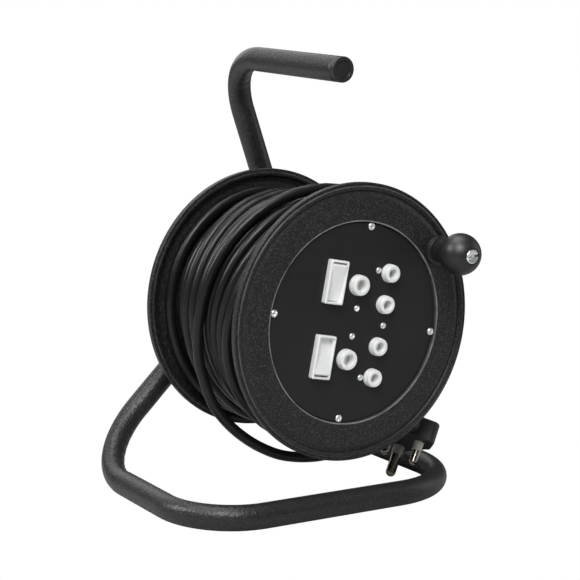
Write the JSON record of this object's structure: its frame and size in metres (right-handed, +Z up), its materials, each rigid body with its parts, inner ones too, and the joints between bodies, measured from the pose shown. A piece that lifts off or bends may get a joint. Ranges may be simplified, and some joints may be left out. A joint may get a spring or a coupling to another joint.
{
  "type": "extension cord reel",
  "caption": "Hand-wound extension cord reel: a drum with switched round-pin sockets and a winding knob turns in a bent tube stand with a carrying handle.",
  "frame": {"origin": "on the floor under the reel, in the middle of its box without the free cord and plug", "axes": "+Z up, +X to the right seen from the sockets, +Y from the socket side to the stand's back leg, along the drum's axle"},
  "size_m": [0.2824, 0.244, 0.3674],
  "materials": {
    "hammered_black": "thick black hammer-finish paint on steel tube",
    "leather_black": "black leather-grain powder coat on pressed steel",
    "barrel_black": "plain black paint",
    "panel_black": "smooth dark sheet with a faint satin sheen",
    "cap_plastic": "moulded black plastic",
    "bright_zinc": "bright zinc-plated steel",
    "spring_steel": "dark spring steel",
    "bush_nylon": "natural nylon",
    "screw_zinc": "bright zinc-plated screws",
    "socket_white": "white moulded plastic",
    "switch_white": "white moulded plastic",
    "rocker_white": "glossy white moulded plastic",
    "contact_brass": "plain brass",
    "grommet_rubber": "soft black rubber",
    "wire_brown": "brown insulation",
    "wire_blue": "blue insulation",
    "wire_green": "green and yellow insulation",
    "knob_black": "satin black moulded plastic",
    "cord_black": "satin black flexible sheath",
    "plug_black": "finely textured black plastic",
    "pin_nickel": "nickel-plated brass, a little worn",
    "collar_grey": "light grey plastic"
  },
  "bodies": {
    "stand": {"frame_tube": "hammered_black", "handle_end_cap": "cap_plastic", "foot_end_cap": "cap_plastic", "axle": "bright_zinc", "axle_spacer": "bright_zinc", "axle_washers": "bright_zinc", "axle_circlip": "spring_steel", "cord_tail": "cord_black", "plug_cord_grip": "grommet_rubber", "plug_base": "plug_black", "plug_cover": "plug_black", "plug_screw": "screw_zinc", "plug_earth_pin": "pin_nickel", "plug_live_pin": "pin_nickel", "plug_neutral_pin": "pin_nickel", "plug_pin_collars": "collar_grey"},
    "drum": {"hub": "bright_zinc", "hub_bushes": "bush_nylon", "hub_screws": "screw_zinc", "rear_flange": "leather_black", "rear_flange_screws": "screw_zinc", "drum_barrel": "barrel_black", "front_flange": "leather_black", "socket_panel": "panel_black", "panel_screws": "screw_zinc", "upper_socket": "socket_white", "lower_socket": "socket_white", "upper_socket_contacts": "contact_brass", "lower_socket_contacts": "contact_brass", "socket_screws": "screw_zinc", "upper_switch": "switch_white", "lower_switch": "switch_white", "switch_terminals": "contact_brass", "cord_grommet": "grommet_rubber", "cord_clamp": "socket_white", "live_wire": "wire_brown", "neutral_wire": "wire_blue", "earth_wire": "wire_green", "knob_base": "knob_black", "knob_spindle": "screw_zinc", "knob_nut": "screw_zinc", "cord_core": "cord_black", "cord_winding": "cord_black"},
    "knob": {"knob_grip": "knob_black"},
    "upper_rocker": {"upper_rocker": "rocker_white"},
    "lower_rocker": {"lower_rocker": "rocker_white"}
  },
  "joints": [
    {"name": "drum_spin", "type": "hinge", "parent": "stand", "child": "drum", "pos_m": [0.0095, 0, 0.1537], "axis": [0, 1, 0], "continuous": true},
    {"name": "knob_spin", "type": "hinge", "parent": "drum", "child": "knob", "pos_m": [0.08715, -0.101, 0.20878], "axis": [0, 1, 0], "continuous": true},
    {"name": "upper_rocker_tilt", "type": "hinge", "parent": "drum", "child": "upper_rocker", "pos_m": [-0.0118, -0.0719, 0.18776], "axis": [0.9864, 0, -0.1642], "range_deg": [-22, 0]},
    {"name": "lower_rocker_tilt", "type": "hinge", "parent": "drum", "child": "lower_rocker", "pos_m": [-0.02158, -0.0719, 0.12897], "axis": [0.9864, 0, -0.1642], "range_deg": [0, 22]}
  ]
}
